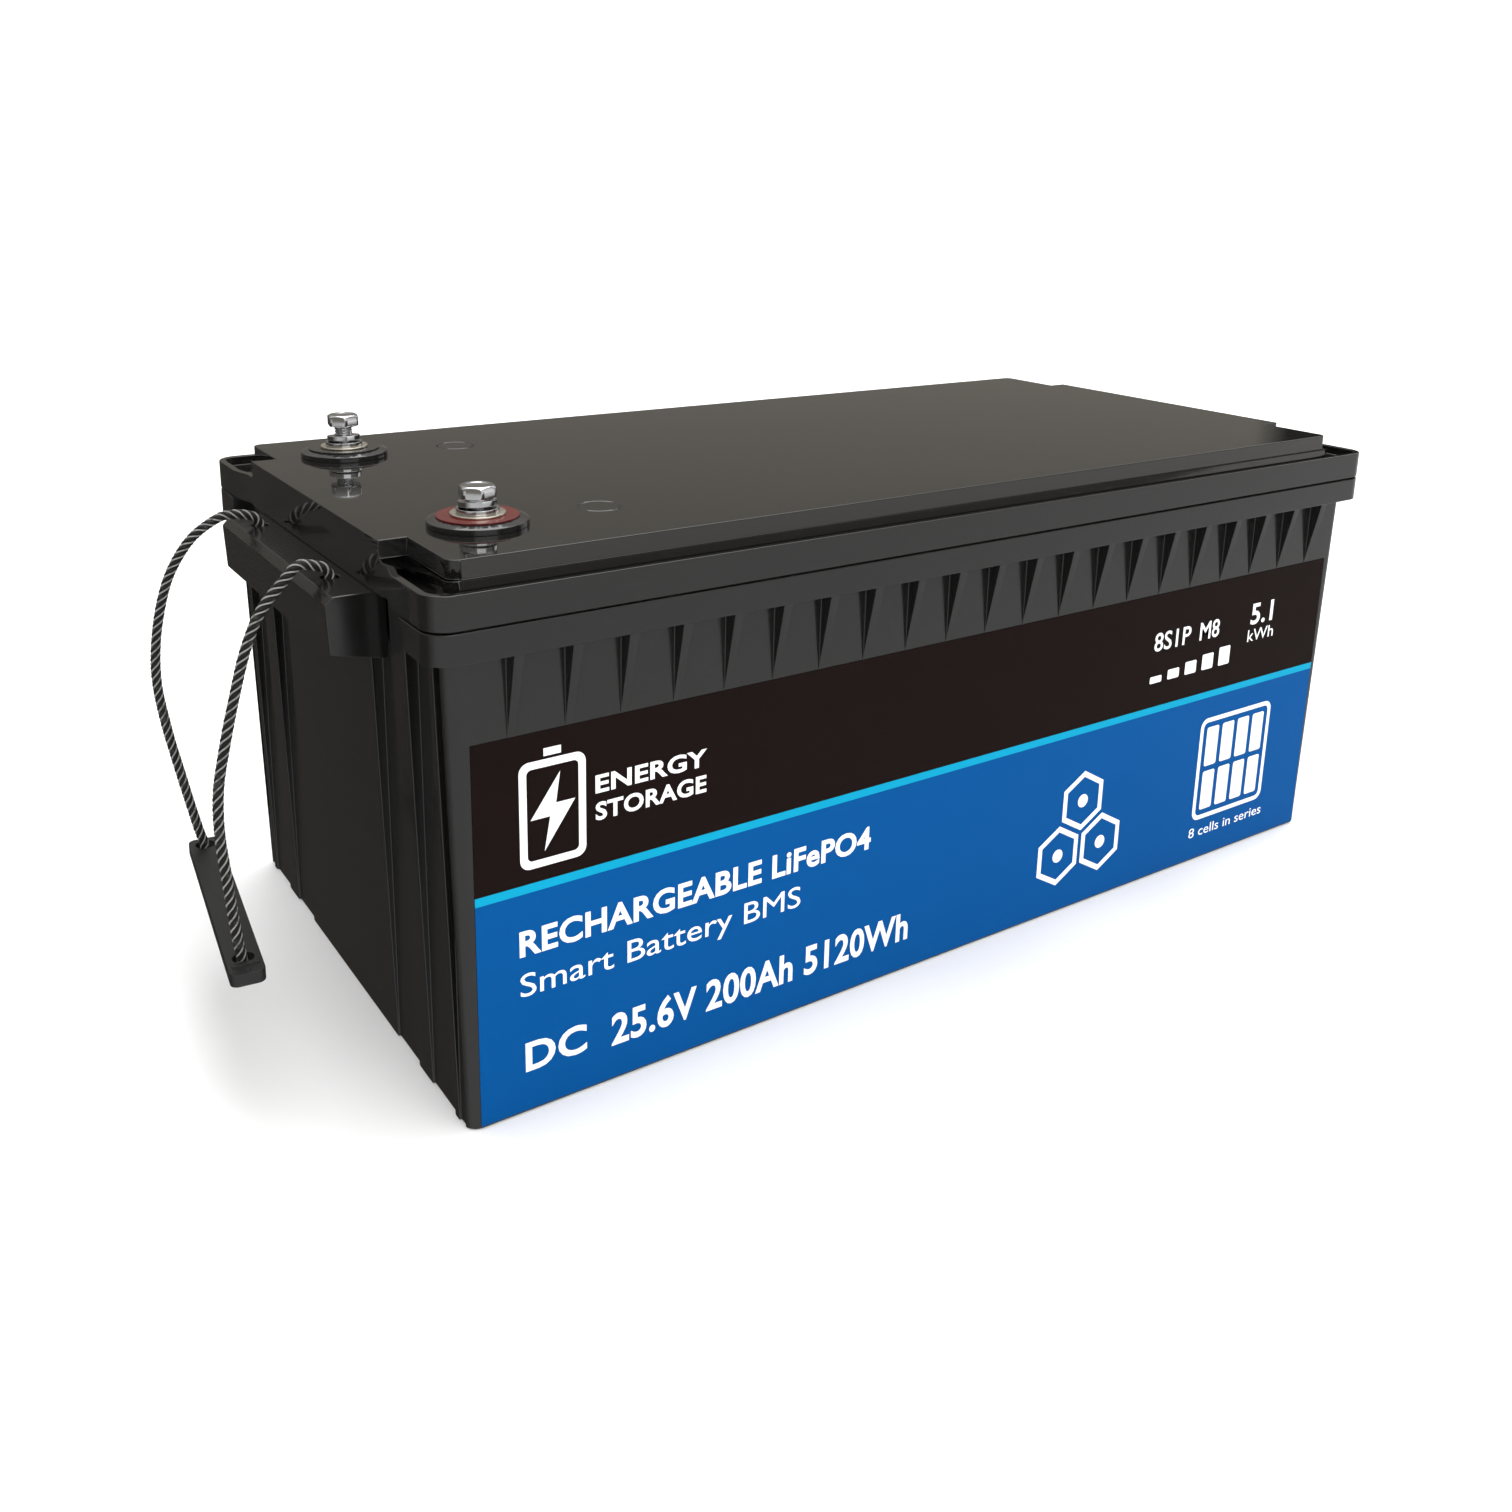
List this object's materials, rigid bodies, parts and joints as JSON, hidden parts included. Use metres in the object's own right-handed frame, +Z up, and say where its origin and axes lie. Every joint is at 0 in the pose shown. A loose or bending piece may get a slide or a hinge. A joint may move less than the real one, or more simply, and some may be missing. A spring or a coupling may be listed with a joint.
{
  "type": "rechargeable battery",
  "caption": "Long box battery with raised lid, fluted rim, printed front label, two bolted post terminals and a rope handle with a strip grip at each end",
  "frame": {"origin": "on the floor, at the centre of the underside of the case", "axes": "+X along the length, away from the terminal end; +Y from the label face to the plain face; +Z up"},
  "size_m": [0.6348, 0.268, 0.2379],
  "materials": {
    "case_plastic": "glossy",
    "lid_plastic": "glossy",
    "label_film": "glossy",
    "seal_rubber": "matte",
    "cell_film": "satin",
    "insulator_sheet": "matte",
    "plate_aluminium": "satin",
    "steel": "satin",
    "brass": "satin",
    "copper": "satin",
    "red_cable": "satin",
    "black_cable": "satin",
    "foam": "matte",
    "circuit_board": "satin",
    "black_plastic": "glossy",
    "red_plastic": "glossy",
    "rope": "matte",
    "grip_plastic": "satin"
  },
  "bodies": {
    "case": {"container": "case_plastic", "lid": "lid_plastic", "label": "label_film", "lid_seal": "seal_rubber", "cell_1": "cell_film", "cell_2": "cell_film", "cell_3": "cell_film", "cell_4": "cell_film", "cell_5": "cell_film", "cell_6": "cell_film", "cell_7": "cell_film", "cell_8": "cell_film", "cell_insulators": "insulator_sheet", "end_plate_left": "plate_aluminium", "end_plate_right": "plate_aluminium", "compression_bands": "steel", "foam_base": "foam", "foam_back": "foam", "busbars": "copper", "busbar_nuts": "steel", "positive_cable": "red_cable", "negative_cable": "black_cable", "board_strap": "copper", "bms_tray": "plate_aluminium", "bms_board": "circuit_board", "bms_heatsink": "plate_aluminium", "bms_screws": "steel", "wireless_module": "steel", "sense_harness": "insulator_sheet", "temperature_sensor": "black_plastic", "positive_bushing": "brass", "positive_seal": "seal_rubber", "positive_collar": "black_plastic", "positive_ring": "red_plastic", "positive_flat_washer": "steel", "negative_bushing": "brass", "negative_seal": "seal_rubber", "negative_collar": "black_plastic", "negative_ring": "black_plastic", "negative_flat_washer": "steel", "left_rope_roots": "rope", "left_knots": "rope", "right_rope_roots": "rope", "right_knots": "rope"},
    "positive_washer": {"positive_spring_washer": "steel"},
    "positive_screw": {"positive_bolt": "steel"},
    "negative_washer": {"negative_spring_washer": "steel"},
    "negative_screw": {"negative_bolt": "steel"},
    "left_handle": {"left_rope_loop": "rope", "left_grip": "grip_plastic"},
    "right_handle": {"right_rope_loop": "rope", "right_grip": "grip_plastic"}
  },
  "joints": [
    {"name": "positive_turn", "type": "hinge", "parent": "case", "child": "positive_washer", "pos_m": [-0.217, -0.075, 0.2256], "axis": [0, 0, 1], "range_deg": [-1, 2885]},
    {"name": "positive_thread", "type": "slide", "parent": "positive_washer", "child": "positive_screw", "axis": [0, 0, 1], "range_m": [0, 0.01]},
    {"name": "negative_turn", "type": "hinge", "parent": "case", "child": "negative_washer", "pos_m": [-0.217, 0.075, 0.2256], "axis": [0, 0, 1], "range_deg": [-1081, 1805]},
    {"name": "negative_thread", "type": "slide", "parent": "negative_washer", "child": "negative_screw", "axis": [0, 0, 1], "range_m": [-0.00375, 0.00625]},
    {"name": "left_lift", "type": "hinge", "parent": "case", "child": "left_handle", "pos_m": [-0.277, 0, 0.201], "axis": [0, 1, 0], "range_deg": [-12, 160]},
    {"name": "right_lift", "type": "hinge", "parent": "case", "child": "right_handle", "pos_m": [0.277, 0, 0.201], "axis": [0, -1, 0], "range_deg": [-12, 160]}
  ],
  "couplings": [
    {"joint": "positive_turn", "follows": "positive_thread", "rad_per_m": 5026.5},
    {"joint": "negative_turn", "follows": "negative_thread", "rad_per_m": 5026.5}
  ]
}
